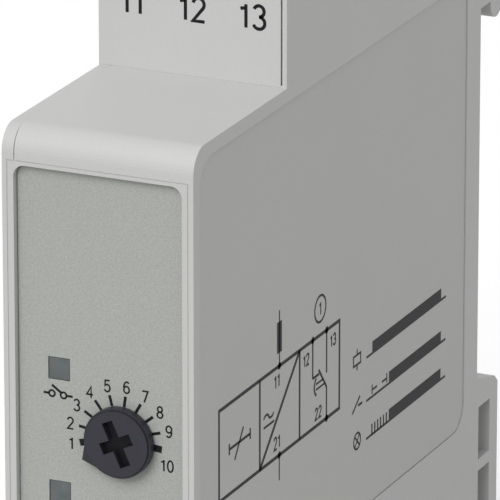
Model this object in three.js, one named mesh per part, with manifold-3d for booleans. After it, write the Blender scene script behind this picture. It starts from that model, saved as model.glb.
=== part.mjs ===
// DIN rail timer: a slim 17.5 mm module for a 35 mm top-hat rail.
// Millimetres. +Z up, +Y towards the rail, -Y is the front, +X is the labelled side.
// The origin is on the flat rear face that rests on the rail, at the rail's centre line.
import * as THREE from 'three';
import { mergeVertices } from 'three/addons/utils/BufferGeometryUtils.js';
import Module from 'manifold-3d';

const wasm = await Module();
wasm.setup();

// ---------------------------------------------------------------- driving dimensions
const width = 17.5; // one module
const height = 81;
const bodyDepth = 62.2; // nose front to the face on the rail
const noseHeight = 45;
const noseStep = 19; // how far the nose stands in front of the terminal faces
const noseCurve = 2.2; // rounded front edges of the nose
const noseCurveRise = 2.3;
const rearCorner = 2;

const wall = 1.4;
const coverThick = 1.1; // left side cover
const seam = 0.12; // gap round each part set into the housing
const rim = 0.44; // side wall left standing beside a part set into it
const touch = 0.05; // gap between parts that rest on each other
const slide = 0.2; // gap round parts that slide

// rail and what holds it
const railWidth = 35;
const railThick = 1;
const hookDepth = 5;
const hookGap = 2.3; // slot for the rail's upper flange
const hookReach = 1.55; // how far the fixed hook laps over the flange
const hookTop = 24.5;
const footSlope = 1.1; // fall of the foot's top face to the rear
const footWindow = { y0: 0.45, y1: 3.15, height: 5.1, pitch: 6.2, depth: 4.1, count: 3, top: 20.5 };
const clipWidth = 7;
const clipThick = 2.8;
const clipFront = railThick + 0.3;
const clipNoseBack = 2.1; // the nose's face behind the flange, level with the fixed hook's slot
const clipReach = 1.5; // how far the clip laps over the flange
const clipTail = 39.9;
const clipTravel = 4;
const springRadius = 1;
const springWire = 0.35;
const springTurns = 6;
const springSeat = -32.4; // top of the peg that the spring stands on
const springLength = 7.9;
const pegThick = 1.2;
const clipWindowHalf = 1.6; // half width of the clip's window round the spring

// front cover and label
const frontLip = 3; // housing above and below the front cover
const frontDepth = 2.5;
const labelRecess = 0.6;
const labelFilm = 0.23;
const frontPlate = 1.45;
const labelMargin = 0.5; // rim of the front cover beside the label
const labelMarginTop = 0.25;
const labelCorner = 1;

// controls
const dialX = 1.84;
const timeDialZ = -3.9;
const rangeDialZ = -15.05;
const knobRadius = 3.08;
const knobThick = 0.95;
const knobStand = 0.2; // gap between a knob and the label
const knobShaft = 1.6;
const beakRadius = 3.76;
const pointerRest = 210; // degrees, anticlockwise from +X seen from the front
const crossTurn = 24.5;
const crossLong = 4.1;
const crossShort = 3;
const crossWidth = 1.02;
const crossDepth = 0.55;
const windowX = -3.92;
const windowSize = 1.9;
const windowPitch = 11; // between the two indicator windows, centred on the time dial

// side label
const sideBorder = 1.3; // housing left round the recess at the front, top and bottom
const sideBorderRear = 3.05;
const sideCorner = 2.4;
const sideDepth = 0.35;
const sideLabelInset = 0.06;
const sideLabelFilm = 0.2;

// terminals
const terminalPitch = 5.6;
const terminalCount = 3;
const blockDepth = 17.7;
const chamberDrop = 11.2; // from the module's top to the underside of the clamp chambers
const skirtGap = 0.3; // between the nose's top and the numbered face
const blockWall = 1.6;
const chamberWidth = 4.9;
const screwDrop = 5.9; // from the module's top to the screws' axis
const screwHole = 2.3;
const screwHead = 1.95;
const screwHeadThick = 1.7;
const screwSink = 0.6;
const screwShank = 1.5;
const cageClear = 0.15;
const cageHeight = 6;
const cageDepth = 9.3;
const cageWall = 0.45;
const cagePlate = 1;
const cageBack = 6.3; // from the terminal face to an open cage
const bladeBack = 11.2; // from the terminal face to each contact blade
const bladeThick = 0.8;
const bladeWidth = 3.4;
const entryWidth = 4;
const entryDepth = 3.1;

// boards
const boardThick = 1.6;
const boardStand = 0.75; // main board to the side cover
const mainBoardRear = -6;
const frontBoardBack = 5.32; // front cover plate to the front board
const frontBoardThick = 1.2;
const boardGap = 0.6; // main board to the front board
const boardInset = 0.4; // boards to the side wall
const terminalBoardDrop = 3.6; // chamber underside to the terminal board's lower face
const terminalBoardThick = 1.2;

// relay, standing on the main board
const relay = { y: -14, half: 6.2, z0: -10, z1: 13.4, height: 11.4, shell: 0.6, base: 1.2 };
const coreRadius = 1.5;
const bobbinRadius = 3.5;
const windingRadius = 3.1;
const armatureGap = 0.5;
const armatureTurn = 4.6; // degrees from rest to the pulled-in stop

// derived places
const half = width / 2;
const top = height / 2;
const noseTop = noseHeight / 2;
const frontY = -bodyDepth;
const terminalY = frontY + noseStep;
const labelY = frontY + labelRecess;
const plateRear = labelY + labelFilm + frontPlate;
const insertHalf = half - rim - seam;
const coverInner = -half + coverThick;
const wallInner = half - wall;
const frontHalf = noseTop - frontLip;
const railEdge = railWidth / 2;
const slotTop = railEdge + slide;
const blockRear = terminalY + blockDepth;
const blockFloor = top - chamberDrop;
const blockSkirt = noseTop + skirtGap;
const screwZ = top - screwDrop;
const cageFrontY = terminalY + cageBack;
const bladeY = terminalY + bladeBack;
const mainBoardX = coverInner + boardStand;
const boardFace = mainBoardX + boardThick;
const frontBoardY = plateRear + frontBoardBack;
const mainBoardFront = frontBoardY + frontBoardThick + boardGap;
const terminalBoardZ = blockFloor - terminalBoardDrop;
const mainBoardHalf = terminalBoardZ - slide;
const mainBoardNoseHalf = noseTop - 6.5;
const sideRecess = {
  y0: frontY + sideBorder, y1: -sideBorderRear, halfHeight: noseTop - sideBorder,
};
const knobBack = labelY - knobStand;
const knobFace = knobBack - knobThick;

// ---------------------------------------------------------------- solids
function solid(geometry) {
  const bare = geometry.clone();
  bare.deleteAttribute('normal');
  bare.deleteAttribute('uv');
  const merged = mergeVertices(bare, 1e-4);
  const vertProperties = new Float32Array(merged.attributes.position.array);
  const triVerts = new Uint32Array(merged.index.array);
  return new wasm.Manifold(new wasm.Mesh({ numProp: 3, vertProperties, triVerts }));
}

function geometryOf(body) {
  const mesh = body.getMesh();
  const geometry = new THREE.BufferGeometry();
  geometry.setAttribute('position', new THREE.BufferAttribute(new Float32Array(mesh.vertProperties), 3));
  geometry.setIndex(new THREE.BufferAttribute(new Uint32Array(mesh.triVerts), 1));
  geometry.computeVertexNormals();
  return geometry;
}

function box(x0, x1, y0, y1, z0, z1) {
  const geometry = new THREE.BoxGeometry(x1 - x0, y1 - y0, z1 - z0);
  return solid(geometry.translate((x0 + x1) / 2, (y0 + y1) / 2, (z0 + z1) / 2));
}

// a cylinder along Y, with its own number of sides
function rodY(x, z, radius, y0, y1, sides = 24, radiusFront = radius) {
  const geometry = new THREE.CylinderGeometry(radius, radiusFront, y1 - y0, sides);
  return solid(geometry.translate(x, (y0 + y1) / 2, z));
}

function rodX(y, z, radius, x0, x1, sides = 20) {
  const geometry = new THREE.CylinderGeometry(radius, radius, x1 - x0, sides);
  return solid(geometry.rotateZ(Math.PI / 2).translate((x0 + x1) / 2, y, z));
}

function rodZ(x, y, radius, z0, z1, sides = 20) {
  const geometry = new THREE.CylinderGeometry(radius, radius, z1 - z0, sides);
  return solid(geometry.rotateX(Math.PI / 2).translate(x, y, (z0 + z1) / 2));
}

// an outline in (y, z), pushed along X
function slabX(shape, x0, x1, curveSegments = 6) {
  const geometry = new THREE.ExtrudeGeometry(shape, { depth: x1 - x0, bevelEnabled: false, curveSegments });
  geometry.rotateX(Math.PI / 2).rotateZ(Math.PI / 2);
  return solid(geometry.translate(x0, 0, 0));
}

// an outline in (x, z), pushed along Y
function slabY(shape, y0, y1, curveSegments = 6) {
  const geometry = new THREE.ExtrudeGeometry(shape, { depth: y1 - y0, bevelEnabled: false, curveSegments });
  return solid(geometry.rotateX(Math.PI / 2).translate(0, y1, 0));
}

function polygon(points) {
  return new THREE.Shape(points.map(([a, b]) => new THREE.Vector2(a, b)));
}

function roundedRect(a0, a1, b0, b1, r) {
  const shape = new THREE.Shape();
  shape.moveTo(a0 + r, b0);
  shape.lineTo(a1 - r, b0);
  shape.absarc(a1 - r, b0 + r, r, -Math.PI / 2, 0);
  shape.lineTo(a1, b1 - r);
  shape.absarc(a1 - r, b1 - r, r, 0, Math.PI / 2);
  shape.lineTo(a0 + r, b1);
  shape.absarc(a0 + r, b1 - r, r, Math.PI / 2, Math.PI);
  shape.lineTo(a0, b0 + r);
  shape.absarc(a0 + r, b0 + r, r, Math.PI, 1.5 * Math.PI);
  return shape;
}

function cut(body, ...tools) {
  return tools.reduce((rest, tool) => rest.subtract(tool), body);
}

function join(body, ...others) {
  return others.reduce((sum, other) => sum.add(other), body);
}

// ---------------------------------------------------------------- materials
function plastic(color, roughness = 0.55) {
  return new THREE.MeshStandardMaterial({ color, roughness, metalness: 0 });
}

function metal(color, roughness = 0.35) {
  return new THREE.MeshStandardMaterial({ color, roughness, metalness: 1 });
}

const look = {
  shell: () => plastic(0xc4c4c2),
  label: () => plastic(0xa9aba8, 0.5),
  knob: () => plastic(0x3c3c44, 0.45),
  window: () => plastic(0x7b7f7f, 0.3),
  clip: () => plastic(0xc0c0bd),
  steel: () => metal(0xb8b8b4),
  brass: () => metal(0xb9a36a),
  copper: () => metal(0xb87340, 0.4),
  board: () => plastic(0x2f5d3a, 0.5),
  black: () => plastic(0x202024, 0.5),
  blue: () => plastic(0x2f5f9a, 0.5),
  red: () => plastic(0xa05030, 0.4),
};

const timer = new THREE.Group();

function add(parent, name, body, material) {
  const mesh = new THREE.Mesh(geometryOf(body), material);
  mesh.name = name;
  parent.add(mesh);
  return mesh;
}

// ---------------------------------------------------------------- housing
// side view of the module without its rail hooks, drawn clear of the edges by inset
function bodyOutline(inset = 0) {
  const front = frontY;
  const shape = new THREE.Shape();
  shape.moveTo(front, 0);
  shape.lineTo(front, noseTop - noseCurveRise);
  shape.absellipse(front + noseCurve, noseTop - noseCurveRise, noseCurve, noseCurveRise - inset, Math.PI, Math.PI / 2, true);
  shape.lineTo(terminalY, noseTop - inset);
  shape.lineTo(terminalY, top - inset);
  shape.lineTo(-rearCorner - inset, top - inset);
  shape.absarc(-rearCorner - inset, top - rearCorner - inset, rearCorner, Math.PI / 2, 0, true);
  shape.lineTo(-inset, -top + rearCorner);
  shape.absarc(-rearCorner - inset, -top + rearCorner, rearCorner, 0, -Math.PI / 2, true);
  shape.lineTo(terminalY, -top);
  shape.lineTo(terminalY, -noseTop);
  shape.lineTo(front + noseCurve, -noseTop);
  shape.absellipse(front + noseCurve, -noseTop + noseCurveRise, noseCurve, noseCurveRise, -Math.PI / 2, -Math.PI, true);
  shape.closePath();
  return shape;
}

// the fixed hook above the rail: a finger behind the rail's upper flange
function hookOutline() {
  const tip = railEdge - hookReach;
  const thick = hookDepth - hookGap;
  const shape = new THREE.Shape();
  shape.moveTo(-wall, slotTop);
  shape.lineTo(hookGap, slotTop);
  shape.lineTo(hookGap, tip + 0.5 * thick);
  shape.absarc(hookGap + thick / 2, tip + thick / 2, thick / 2, Math.PI, 2 * Math.PI);
  shape.lineTo(hookDepth, hookTop - hookDepth / 2);
  shape.lineTo(0, hookTop);
  shape.lineTo(-wall, hookTop);
  return shape;
}

function footOutline() {
  const corner = 0.7;
  const edge = -railEdge - touch;
  return polygon([
    [-wall, edge], [0, edge], [hookDepth - corner, edge - footSlope], [hookDepth, edge - footSlope - corner],
    [hookDepth, -top + corner], [hookDepth - corner, -top], [-wall, -top],
  ]);
}

function footWindows() {
  const { y0, y1, height: tall, pitch, depth, count, top: first } = footWindow;
  const tools = [];
  for (let i = 0; i < count; i += 1) {
    const z1 = -first - i * pitch;
    tools.push(box(half - depth, half + 1, y0, y1, z1 - tall, z1));
    tools.push(box(-half - 1, -half + depth, y0, y1, z1 - tall, z1));
  }
  return tools;
}

// the space taken from the side walls by the parts set between them
function frontEnvelope() {
  return box(-insertHalf - seam, insertHalf + seam, frontY - 1, frontY + frontDepth, -frontHalf - seam, frontHalf + seam);
}

function blockEnvelope(up) {
  const x = insertHalf + seam;
  const chambers = [blockFloor - seam, top + 1];
  const skirt = [blockSkirt - seam, blockFloor];
  const place = ([a, b]) => (up ? [a, b] : [-b, -a]);
  return join(
    box(-x, x, terminalY - 1, blockRear + seam, ...place(chambers)),
    box(-x, x, terminalY - 1, terminalY + blockWall + seam, ...place(skirt)),
  );
}

// places of the pegs that hold the side cover, as (y, z)
const pegPlaces = [1, -1].flatMap((side) => [
  [-4.6, side * (top - 5)], [terminalY - 3.6, side * (noseTop - 3.7)],
]);
const pegRadius = 1.2;
const bossRadius = 2.2;
const pegEnd = coverInner + 3.6;
const bossEnd = coverInner + 0.8;

// places of the posts that clamp the main board, as (y, z)
const postPlaces = [1, -1].map((side) => [mainBoardRear - 2.5, side * (mainBoardHalf - 3)]);
const postRadius = 1.6;

const tunnelX = clipWidth / 2 + slide;
const tunnelFront = clipFront - slide;
const tunnelRear = clipFront + clipThick + slide;
const clipWindow = { z0: springSeat - pegThick - 2 * slide, z1: springSeat + springLength };

function housingBody() {
  const left = coverInner + touch;
  const innerFront = frontY + wall;
  const hollow = join(
    box(left - 1, wallInner, innerFront, -wall, -noseTop + wall, noseTop - wall),
    box(left - 1, wallInner, terminalY + wall, -wall, -top + wall, top - wall),
  );
  let body = slabX(bodyOutline(), left, half);
  body = cut(body, hollow, frontEnvelope(), blockEnvelope(true), blockEnvelope(false));
  body = join(body, slabX(hookOutline(), left, half), slabX(footOutline(), left, half));
  const cheek = seam; // the hooks reach the full width beside the side cover
  body = join(
    body,
    slabX(hookOutline(), -half, half).intersect(box(-half, half, cheek, hookDepth + 1, -top, top)),
    slabX(footOutline(), -half, half).intersect(box(-half, half, cheek, hookDepth + 1, -top, top)),
  );
  body = cut(body, ...footWindows());
  const clipTunnel = box(-tunnelX, tunnelX, tunnelFront, tunnelRear, -top - 1, -railEdge + 1);
  const notchTop = -clipTail + clipTravel + 0.5;
  const accessNotch = box(-tunnelX, tunnelX, tunnelFront, hookDepth + 1, -top - 1, notchTop);
  body = cut(body, clipTunnel, accessNotch);
  const peg = clipWindowHalf - 2 * slide;
  body = join(body, box(-peg, peg, tunnelFront - 0.5, tunnelRear - 1, springSeat - pegThick, springSeat));
  for (const [y, z] of pegPlaces) {
    body = join(body, rodX(y, z, bossRadius, bossEnd, wallInner + touch));
    body = cut(body, rodX(y, z, pegRadius + 0.1, bossEnd - 1, pegEnd + 0.5));
  }
  for (const [y, z] of postPlaces) {
    body = join(body, rodX(y, z, postRadius, boardFace + touch, wallInner + touch, 12));
  }
  const { y0, y1, halfHeight } = sideRecess;
  return cut(body, slabX(roundedRect(y0, y1, -halfHeight, halfHeight, sideCorner), half - sideDepth, half + 1));
}

function sideCover() {
  let cover = slabX(bodyOutline(0.1), -half, coverInner);
  cover = cut(cover, frontEnvelope(), blockEnvelope(true), blockEnvelope(false));
  for (const [y, z] of pegPlaces) {
    cover = join(cover, rodX(y, z, pegRadius, coverInner - touch, pegEnd));
  }
  for (const [y, z] of postPlaces) {
    cover = join(cover, rodX(y, z, postRadius, coverInner - touch, mainBoardX - touch, 12));
  }
  return cover;
}

add(timer, 'housing_body', housingBody(), look.shell());
add(timer, 'side_cover', sideCover(), look.shell());

function sideLabel() {
  const { y0, y1, halfHeight } = sideRecess;
  const i = sideLabelInset;
  const floor = half - sideDepth;
  const shape = roundedRect(y0 + i, y1 - i, -halfHeight + i, halfHeight - i, sideCorner - i);
  return slabX(shape, floor + touch / 2, floor + touch / 2 + sideLabelFilm);
}

add(timer, 'side_label', sideLabel(), look.label());

// ---------------------------------------------------------------- front cover and label
const windowPlaces = [timeDialZ + windowPitch / 2, timeDialZ - windowPitch / 2];
const dialPlaces = [timeDialZ, rangeDialZ];

function frontHoles(margin) {
  const windowHalf = windowSize / 2 + margin;
  return [
    ...dialPlaces.map((z) => rodY(dialX, z, knobShaft + margin + 0.1, frontY - 1, plateRear + 3)),
    ...windowPlaces.map((z) => box(
      windowX - windowHalf, windowX + windowHalf, frontY - 1, plateRear + 3, z - windowHalf, z + windowHalf,
    )),
  ];
}

function frontCover() {
  const x = insertHalf;
  const body = box(-x, x, frontY, frontY + frontDepth - seam, -frontHalf, frontHalf);
  const wide = insertHalf - labelMargin;
  const tall = frontHalf - labelMarginTop;
  const recess = slabY(
    roundedRect(-wide, wide, -tall, tall, labelCorner), frontY - 1, labelY + labelFilm,
  );
  const back = box(-x + 1.2, x - 1.2, plateRear, frontY + frontDepth + 1, -frontHalf + 1.2, frontHalf - 1.2);
  return cut(body, recess, back, ...frontHoles(0.1));
}

function frontLabel() {
  const wide = insertHalf - labelMargin - 0.08;
  const tall = frontHalf - labelMarginTop - 0.08;
  const film = slabY(
    roundedRect(-wide, wide, -tall, tall, labelCorner - 0.08), labelY, labelY + labelFilm - touch / 2,
  );
  return cut(film, ...frontHoles(0.05));
}

add(timer, 'front_cover', frontCover(), look.shell());
add(timer, 'front_label', frontLabel(), look.label());

// ---------------------------------------------------------------- knobs, potentiometers, indicators
const rotorRadius = 2.2;
const rotorFront = plateRear + 1;
const rotorRear = rotorFront + 1.6;
const tenon = { wide: 1.6, thick: 0.8, deep: 0.8 };

// each dial's parts are drawn about its own axis, which runs along Y through the dial's centre
function knob() {
  const chamfer = 0.2;
  const rad = THREE.MathUtils.degToRad;
  const at = (r, angle) => [r * Math.cos(rad(angle)), r * Math.sin(rad(angle))];
  const beak = polygon([
    at(beakRadius, pointerRest), at(knobRadius - 0.05, pointerRest + 24),
    at(knobRadius / 2, pointerRest), at(knobRadius - 0.05, pointerRest - 22),
  ]);
  let body = join(
    rodY(0, 0, knobRadius, knobFace + chamfer, knobBack, 48),
    rodY(0, 0, knobRadius - chamfer, knobFace, knobFace + chamfer + 0.01, 48),
    slabY(beak, knobFace + chamfer, knobBack),
    rodY(0, 0, knobShaft, knobBack - 0.05, rotorFront - touch, 24),
  );
  const turn = -rad(crossTurn);
  for (const [length, extra] of [[crossShort, 0], [crossLong, -Math.PI / 2]]) {
    const arm = new THREE.BoxGeometry(length, 2, crossWidth).rotateY(turn + extra);
    body = cut(body, solid(arm.translate(0, knobFace - 1 + crossDepth, 0)));
  }
  const tip = box(
    -tenon.wide / 2, tenon.wide / 2, rotorFront - 1, rotorFront + tenon.deep, -tenon.thick / 2, tenon.thick / 2,
  );
  return join(body, tip);
}

function rotor() {
  const w = tenon.wide / 2 + 0.1;
  const t = tenon.thick / 2 + 0.1;
  const disc = rodY(0, 0, rotorRadius, rotorFront, rotorRear, 28);
  return cut(disc, box(-w, w, rotorFront - 1, rotorFront + tenon.deep + 0.2, -t, t));
}

function potentiometer() {
  const side = 3.35;
  const body = box(-side, side, rotorFront + 0.3, frontBoardY - touch, -side, side);
  return cut(body, rodY(0, 0, rotorRadius + 0.1, rotorFront - 1, rotorRear + touch, 28));
}

function dial(z, name) {
  const group = new THREE.Group();
  group.position.set(dialX, 0, z);
  add(group, `${name}_knob`, knob(), look.knob());
  add(group, `${name}_pot_rotor`, rotor(), look.steel());
  add(group, `${name}_potentiometer`, potentiometer(), look.blue());
  timer.add(group);
}

function indicator(z, name) {
  const w = windowSize / 2;
  const pipeRear = plateRear + 1.4;
  const group = new THREE.Group();
  group.position.set(windowX, 0, z);
  add(group, `${name}_window`, box(-w, w, labelY + touch, pipeRear, -w, w), look.window());
  const bulb = join(
    rodY(0, 0, 0.75, pipeRear + 0.3, frontBoardY - 0.6, 16),
    box(-0.9, 0.9, frontBoardY - 1, frontBoardY - touch, -0.9, 0.9),
  );
  add(group, `${name}_led`, bulb, look.red());
  timer.add(group);
}

dial(timeDialZ, 'time');
dial(rangeDialZ, 'range');
indicator(windowPlaces[0], 'relay');
indicator(windowPlaces[1], 'power');

// ---------------------------------------------------------------- boards
function mainBoard() {
  const f = mainBoardFront;
  const r = mainBoardRear;
  const step = terminalY + wall + 1;
  const h = mainBoardHalf;
  const n = mainBoardNoseHalf;
  const outline = polygon([[f, -n], [step, -n], [step, -h], [r, -h], [r, h], [step, h], [step, n], [f, n]]);
  return slabX(outline, mainBoardX, boardFace);
}

function boardConnector() {
  const rear = frontBoardY + frontBoardThick + touch;
  return join(
    box(boardFace + touch, boardFace + 2.6, rear, rear + 2.5, -8, 8),
    box(boardFace + touch, boardFace + 0.8, rear + 2.4, rear + 5, -7.5, 7.5),
  );
}

add(timer, 'main_board', mainBoard(), look.board());
const frontBoardHalf = wallInner - boardInset;
const frontBoardTall = frontHalf - 1.5;
const frontBoard = box(
  -frontBoardHalf, frontBoardHalf, frontBoardY, frontBoardY + frontBoardThick, -frontBoardTall, frontBoardTall,
);
add(timer, 'front_board', frontBoard, look.board());
add(timer, 'board_connector', boardConnector(), look.black());

// ---------------------------------------------------------------- terminals
const cageHalf = chamberWidth / 2 - cageClear;
const terminalXs = Array.from({ length: terminalCount }, (_, i) => (i - (terminalCount - 1) / 2) * terminalPitch);
const blockTop = top - touch;

function terminalBlock() {
  const x = insertHalf;
  let block = join(
    box(-x, x, terminalY, blockRear, blockFloor, blockTop),
    box(-x, x, terminalY, terminalY + blockWall, blockSkirt, blockFloor + 1),
  );
  for (const cx of terminalXs) {
    const w = chamberWidth / 2;
    const slot = bladeWidth / 2 + 0.15;
    const entry = entryWidth / 2;
    const y0 = bladeY + bladeThick - 0.1;
    block = cut(
      block,
      box(cx - w, cx + w, terminalY + blockWall, blockRear - 1.2, blockFloor + 1, top - wall),
      rodY(cx, screwZ, screwHole, terminalY - 1, terminalY + blockWall + 1),
      box(cx - entry, cx + entry, y0, y0 + entryDepth, top - wall - 1, top + 1),
      box(cx - slot, cx + slot, bladeY - 0.15, bladeY + bladeThick + 0.15, blockFloor - 1, blockFloor + 2),
    );
  }
  return block;
}

function screw() {
  const headFront = terminalY + screwSink;
  const headRear = headFront + screwHeadThick;
  const bevel = 0.3;
  let body = join(
    rodY(0, 0, screwHead, headFront + bevel, headRear, 24),
    rodY(0, 0, screwHead, headFront, headFront + bevel + 0.01, 24, screwHead - bevel),
    rodY(0, 0, screwShank, headRear - 0.1, bladeY - 0.3, 20),
  );
  body = cut(body, box(-3, 3, headFront - 1, headFront + 0.8, -0.4, 0.4));
  return cut(body, box(-0.4, 0.4, headFront - 1, headFront + 0.8, -1.2, 1.2));
}

function clampCage() {
  const w = cageHalf;
  const h = cageHeight / 2;
  const shell = box(-w, w, cageFrontY, cageFrontY + cageDepth, -h, h);
  const window = box(
    -w + cageWall, w - cageWall, cageFrontY + cagePlate, cageFrontY + cageDepth - cagePlate, -h - 1, h + 1,
  );
  return cut(shell, window, rodY(0, 0, screwShank + 0.06, cageFrontY - 1, cageFrontY + cagePlate + 1, 20));
}

function contactBlade() {
  const w = bladeWidth / 2;
  const tail = 0.8;
  return join(
    box(-w, w, bladeY, bladeY + bladeThick, terminalBoardZ + terminalBoardThick + touch, top - wall - 0.4),
    box(-tail, tail, bladeY, bladeY + bladeThick, terminalBoardZ, terminalBoardZ + terminalBoardThick + 1),
  );
}

function terminalBoard() {
  const x = wallInner - boardInset;
  let board = box(-x, x, bladeY - 5, bladeY + 6, terminalBoardZ, terminalBoardZ + terminalBoardThick);
  for (const cx of terminalXs) {
    const slot = 0.9;
    const y1 = bladeY + bladeThick + 0.1;
    board = cut(board, box(cx - slot, cx + slot, bladeY - 0.1, y1, terminalBoardZ - 1, terminalBoardZ + 3));
  }
  return board;
}

// one bank of terminals, drawn for the top of the module
function terminalBank(name, firstNumber) {
  const bank = new THREE.Group();
  add(bank, `terminal_block_${name}`, terminalBlock(), look.shell());
  add(bank, `terminal_board_${name}`, terminalBoard(), look.board());
  terminalXs.forEach((x, i) => {
    const number = firstNumber + i;
    const parts = [
      [`terminal_screw_${number}`, screw(), look.steel(), screwZ],
      [`clamp_cage_${number}`, clampCage(), look.steel(), screwZ],
      [`contact_blade_${number}`, contactBlade(), look.brass(), 0],
    ];
    for (const [node, body, material, z] of parts) {
      const mesh = add(bank, node, body, material);
      mesh.position.set(x, 0, z);
    }
  });
  timer.add(bank);
  return bank;
}

terminalBank('top', 1);
terminalBank('bottom', 4).rotation.y = Math.PI;

// ---------------------------------------------------------------- relay
const relayX = boardFace + touch;
const relayBaseTop = relayX + relay.base;
const coreX = relayBaseTop + 3.9;
const coreTop = 8;
const coilBottom = -7.6;
const yokeLow = -9;
const yokeFar = coreX + bobbinRadius + 0.1;
const armatureZ = coreTop + armatureGap;
const contactX = relayBaseTop + 1.2;
const contactRadius = 0.8;

function relayBase() {
  const { y, half: h, z0, z1, base, shell } = relay;
  return box(relayX, relayX + base, y - h + shell + 0.1, y + h - shell - 0.1, z0 + shell + 0.1, z1 - shell - 0.1);
}

function relayCover() {
  const { y, half: h, z0, z1, height: tall, shell } = relay;
  const outer = box(relayX, relayX + tall, y - h, y + h, z0, z1);
  const inner = box(relayX - 1, relayX + tall - shell, y - h + shell, y + h - shell, z0 + shell, z1 - shell);
  return cut(outer, inner);
}

function relayYoke() {
  const y0 = relay.y - 4;
  const y1 = relay.y + 4;
  return join(
    box(yokeFar, yokeFar + 1, y0, y1, yokeLow, coreTop + 0.2),
    box(relayBaseTop + touch, yokeFar + 1, y0, y1, yokeLow, yokeLow + 1),
    rodZ(coreX, relay.y, coreRadius, yokeLow + 0.9, coreTop, 24),
  );
}

function relayCoil() {
  const flange = 0.7;
  const coilTop = coreTop - 0.8;
  const body = join(
    rodZ(coreX, relay.y, windingRadius, coilBottom, coilTop, 28),
    rodZ(coreX, relay.y, bobbinRadius, coilBottom, coilBottom + flange, 28),
    rodZ(coreX, relay.y, bobbinRadius, coilTop - flange, coilTop, 28),
  );
  return cut(body, rodZ(coreX, relay.y, coreRadius + 0.08, coilBottom - 1, coilTop + 1, 24));
}

function relayArmature() {
  const leafTop = armatureZ + 1.25;
  return join(
    box(coreX - 1.2, yokeFar + 1, relay.y - 3.5, relay.y + 3.5, armatureZ, armatureZ + 1),
    box(contactX - 1, yokeFar, relay.y - 1.6, relay.y + 1.6, armatureZ + 0.95, leafTop),
    rodZ(contactX, relay.y, contactRadius, armatureZ + 0.4, leafTop + 0.7, 16),
  );
}

function fixedContact(plateLow, tipLow, tipHigh) {
  return join(
    box(relayBaseTop + touch, contactX + 0.85, relay.y - 1.8, relay.y + 1.8, plateLow, plateLow + 0.4),
    rodZ(contactX, relay.y, contactRadius, tipLow, tipHigh, 16),
  );
}

const restTop = armatureZ + 1.95;
const contactArm = yokeFar + 1 - contactX;
const pulledFace = armatureZ + 0.4 - contactArm * Math.sin(THREE.MathUtils.degToRad(armatureTurn));
add(timer, 'relay_base', relayBase(), look.black());
add(timer, 'relay_yoke', relayYoke(), look.steel());
add(timer, 'relay_coil', relayCoil(), look.copper());
add(timer, 'relay_armature', relayArmature(), look.steel());
add(timer, 'relay_contact_make', fixedContact(coreTop - 0.55, coreTop - 0.5, pulledFace - touch), look.brass());
add(timer, 'relay_contact_break', fixedContact(restTop + 0.4, restTop + 0.05, restTop + 0.7), look.brass());
add(timer, 'relay_cover', relayCover(), look.black());

// ---------------------------------------------------------------- components on the main board
const seat = boardFace + touch;
const componentY = terminalY + 1.7; // front of the row of components
add(timer, 'dropper_capacitor', box(seat, seat + 9, componentY, componentY + 6, -14, 4), look.red());
add(timer, 'varistor', rodX(componentY + 3.5, 11.5, 4, seat, seat + 3.2, 24), look.blue());
add(timer, 'smoothing_capacitor', rodX(componentY + 14.5, 16, 4, seat, seat + 10.5, 28), look.black());
add(timer, 'rectifier', box(seat, seat + 2.6, componentY + 11.5, componentY + 18, -6, 2), look.black());
add(timer, 'timer_chip', box(seat, seat + 1.8, componentY + 10.5, componentY + 17, -20, -10), look.black());

// ---------------------------------------------------------------- rail clip
function railClip() {
  const y0 = clipFront;
  const y1 = clipFront + clipThick;
  const tip = -railEdge + clipReach;
  const shoulder = -railEdge - 2 * slide;
  const outline = polygon([
    [y0, -clipTail], [y1, -clipTail], [y1, tip - 2.4], [y1 - 1.1, tip],
    [clipNoseBack, tip], [clipNoseBack, shoulder], [y0, shoulder],
  ]);
  const { z0, z1 } = clipWindow;
  return cut(
    slabX(outline, -clipWidth / 2, clipWidth / 2),
    box(-clipWindowHalf, clipWindowHalf, y0 - 1, y1 + 1, z0, z1),
    box(-1.8, 1.8, y0 - 1, y1 + 1, -clipTail + 0.8, -clipTail + 2.6),
  );
}

function clipSpring() {
  class Coil extends THREE.Curve {
    getPoint(t, target = new THREE.Vector3()) {
      const angle = t * springTurns * 2 * Math.PI;
      const low = springSeat + springWire / 2 + touch;
      const high = clipWindow.z1 - springWire / 2 - touch;
      const y = clipFront + clipThick / 2;
      return target.set(springRadius * Math.cos(angle), y + springRadius * Math.sin(angle), low + (high - low) * t);
    }
  }
  const section = new THREE.Shape().absarc(0, 0, springWire / 2, 0, 2 * Math.PI);
  const options = { steps: springTurns * 12, extrudePath: new Coil(), curveSegments: 3 };
  return solid(new THREE.ExtrudeGeometry(section, options));
}

add(timer, 'rail_clip', railClip(), look.clip());
add(timer, 'rail_clip_spring', clipSpring(), look.steel());

export default timer;
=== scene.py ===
"""The DIN rail timer's looks round its CAD frame: finishes, printing, rounded edges, camera and light."""

import math

import bmesh
import bpy
from mathutils import Matrix, Vector


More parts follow.
